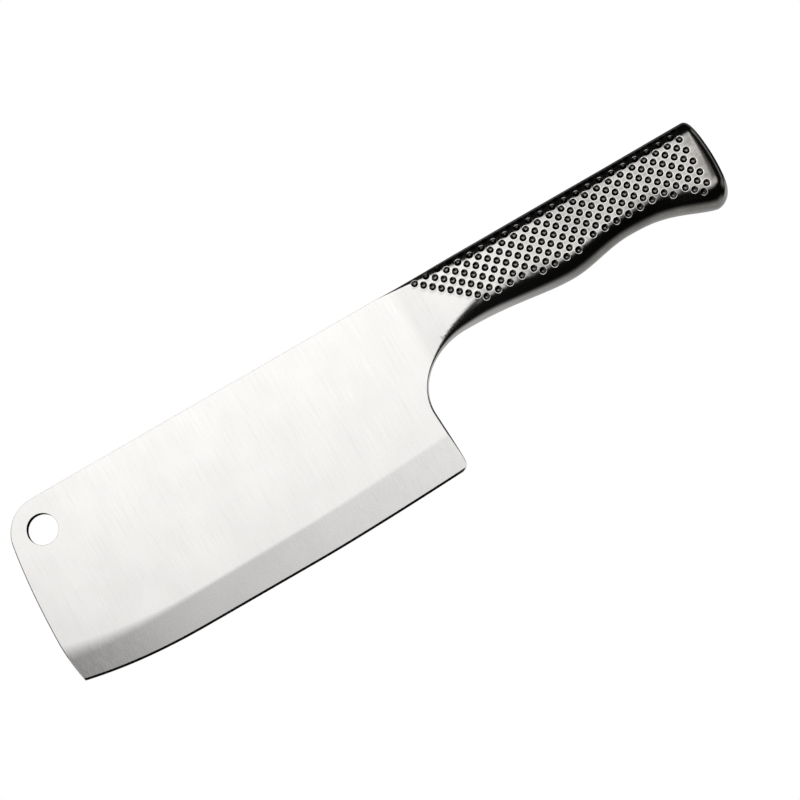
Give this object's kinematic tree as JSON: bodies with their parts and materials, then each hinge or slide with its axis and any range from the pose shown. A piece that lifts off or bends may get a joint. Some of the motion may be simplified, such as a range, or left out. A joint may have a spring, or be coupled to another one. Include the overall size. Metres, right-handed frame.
{
  "type": "cleaver",
  "caption": "All-steel kitchen cleaver: broad straight-spined blade with a hang hole and ground bevels, and a hollow dimpled handle balanced with loose sand.",
  "frame": {"origin": "under the middle of the overall length, on the blade's middle plane, at the level of the lowest point of the edge", "axes": "+X along the spine from the tip end towards the butt, +Y from the user's left cheek to the right one, +Z from the edge up to the spine"},
  "size_m": [0.2922, 0.02, 0.0725],
  "materials": {
    "blade_steel": "satin",
    "handle_steel": "satin",
    "weld_steel": "satin",
    "sand": "matte"
  },
  "bodies": {
    "root": {"blade": "blade_steel", "left_handle_shell": "handle_steel", "right_handle_shell": "handle_steel", "neck_weld": "weld_steel", "handle_seam_weld": "weld_steel", "balance_sand": "sand"}
  },
  "joints": []
}
